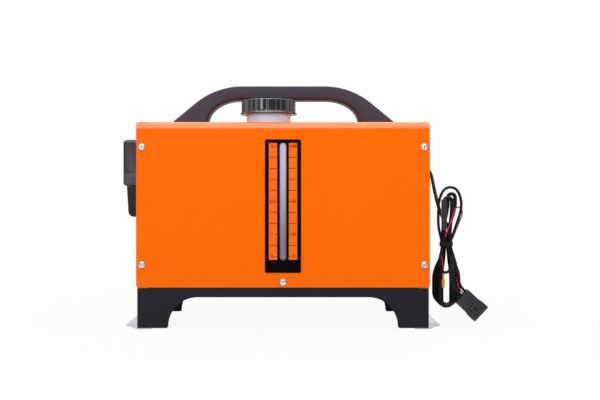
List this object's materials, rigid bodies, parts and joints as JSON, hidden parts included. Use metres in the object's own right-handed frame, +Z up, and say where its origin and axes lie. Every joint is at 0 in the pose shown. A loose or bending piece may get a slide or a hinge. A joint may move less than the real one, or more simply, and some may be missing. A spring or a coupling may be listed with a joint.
{
  "type": "diesel air heater",
  "caption": "Portable all-in-one air heater: folded sheet cabinet with sight gauge, carry handle, filler cap, end display, arched plinth and a tied power cable.",
  "frame": {"origin": "bottom centre of the cabinet and its foot plates, on the floor", "axes": "+Z up, +X to the right of someone who faces the sight gauge, +Y away from them, from the front face to the rear face"},
  "size_m": [0.4993, 0.1552, 0.3321],
  "materials": {
    "orange_paint": "satin powder coat",
    "black_paint": "satin powder coat",
    "zinc": "bright zinc",
    "steel": "satin",
    "cast_alloy": "as cast",
    "brass": "satin",
    "copper": "satin",
    "black_plastic": "moulded",
    "gloss_black": "gloss",
    "label_film": "satin film",
    "tank_plastic": "translucent moulded",
    "handle_plastic": "moulded",
    "screen_lens": "clear",
    "board": "circuit board",
    "rubber": "matt",
    "cable_jacket": "matt",
    "red_jacket": "satin",
    "yellow_cap": "satin",
    "red_button": "satin",
    "grey_button": "satin",
    "filter_body": "translucent",
    "ceramic_pin": "matt"
  },
  "bodies": {
    "cabinet": {"base_frame": "black_paint", "foot_plate_left": "zinc", "foot_plate_right": "zinc", "foot_rivets": "zinc", "cover": "orange_paint", "left_end_panel": "orange_paint", "right_end_panel": "orange_paint", "cover_screws": "zinc", "gauge_label": "label_film", "carry_handle": "handle_plastic", "handle_screws": "zinc", "fuel_tank": "tank_plastic", "tank_outlet_fitting": "brass", "heat_shield": "zinc", "heater_casing_lower": "black_plastic", "heater_casing_upper": "black_plastic", "outlet_hood": "black_plastic", "heat_exchanger": "cast_alloy", "burner": "steel", "glow_plug": "ceramic_pin", "blower_housing": "cast_alloy", "blower_motor": "steel", "exhaust_stub": "steel", "combustion_air_stub": "cast_alloy", "heater_gasket": "rubber", "heater_bolts": "zinc", "outlet_ring": "black_plastic", "intake_grille": "black_plastic", "fuel_pump": "steel", "pump_mount": "rubber", "fuel_filter": "filter_body", "fuel_hose_tank": "rubber", "fuel_hose_pump": "rubber", "fuel_hose_heater": "rubber", "control_board": "board", "display_cradle": "black_plastic", "display_housing": "black_plastic", "display_lens": "screen_lens", "display_board": "board", "cable_gland": "rubber", "power_cable": "cable_jacket", "cable_hank": "cable_jacket", "connector_lead": "cable_jacket", "hank_tie": "gloss_black", "power_connector": "gloss_black", "sensor_lead": "cable_jacket", "lead_plug": "gloss_black", "red_wire": "red_jacket", "wire_end_cap": "yellow_cap"},
    "seal": {"cap_seal": "rubber"},
    "cap": {"fuel_cap": "gloss_black"},
    "louvre": {"outlet_louvre": "black_plastic"},
    "rotor": {"motor_shaft": "steel", "air_fan": "black_plastic", "combustion_impeller": "cast_alloy"},
    "power_key": {"power_button": "red_button"},
    "down_key": {"down_button": "grey_button"},
    "up_key": {"up_button": "grey_button"},
    "set_key": {"set_button": "grey_button"}
  },
  "joints": [
    {"name": "cap_lift", "type": "slide", "parent": "cabinet", "child": "seal", "axis": [0, 0, 1], "range_m": [0, 0.06]},
    {"name": "cap_turn", "type": "hinge", "parent": "seal", "child": "cap", "pos_m": [-0.0201, -0.03, 0.298], "axis": [0, 0, 1], "range_deg": [0, 360]},
    {"name": "louvre_turn", "type": "hinge", "parent": "cabinet", "child": "louvre", "pos_m": [-0.19, 0.012, 0.105], "axis": [1, 0, 0], "continuous": true},
    {"name": "fan_spin", "type": "hinge", "parent": "cabinet", "child": "rotor", "pos_m": [0.066, 0.012, 0.105], "axis": [1, 0, 0], "continuous": true},
    {"name": "power_press", "type": "slide", "parent": "cabinet", "child": "power_key", "axis": [1, 0, 0], "range_m": [0, 0.0008], "stiffness_N_per_m": 600},
    {"name": "down_press", "type": "slide", "parent": "cabinet", "child": "down_key", "axis": [1, 0, 0], "range_m": [0, 0.0008], "stiffness_N_per_m": 600},
    {"name": "up_press", "type": "slide", "parent": "cabinet", "child": "up_key", "axis": [1, 0, 0], "range_m": [0, 0.0008], "stiffness_N_per_m": 600},
    {"name": "set_press", "type": "slide", "parent": "cabinet", "child": "set_key", "axis": [1, 0, 0], "range_m": [0, 0.0008], "stiffness_N_per_m": 600}
  ]
}
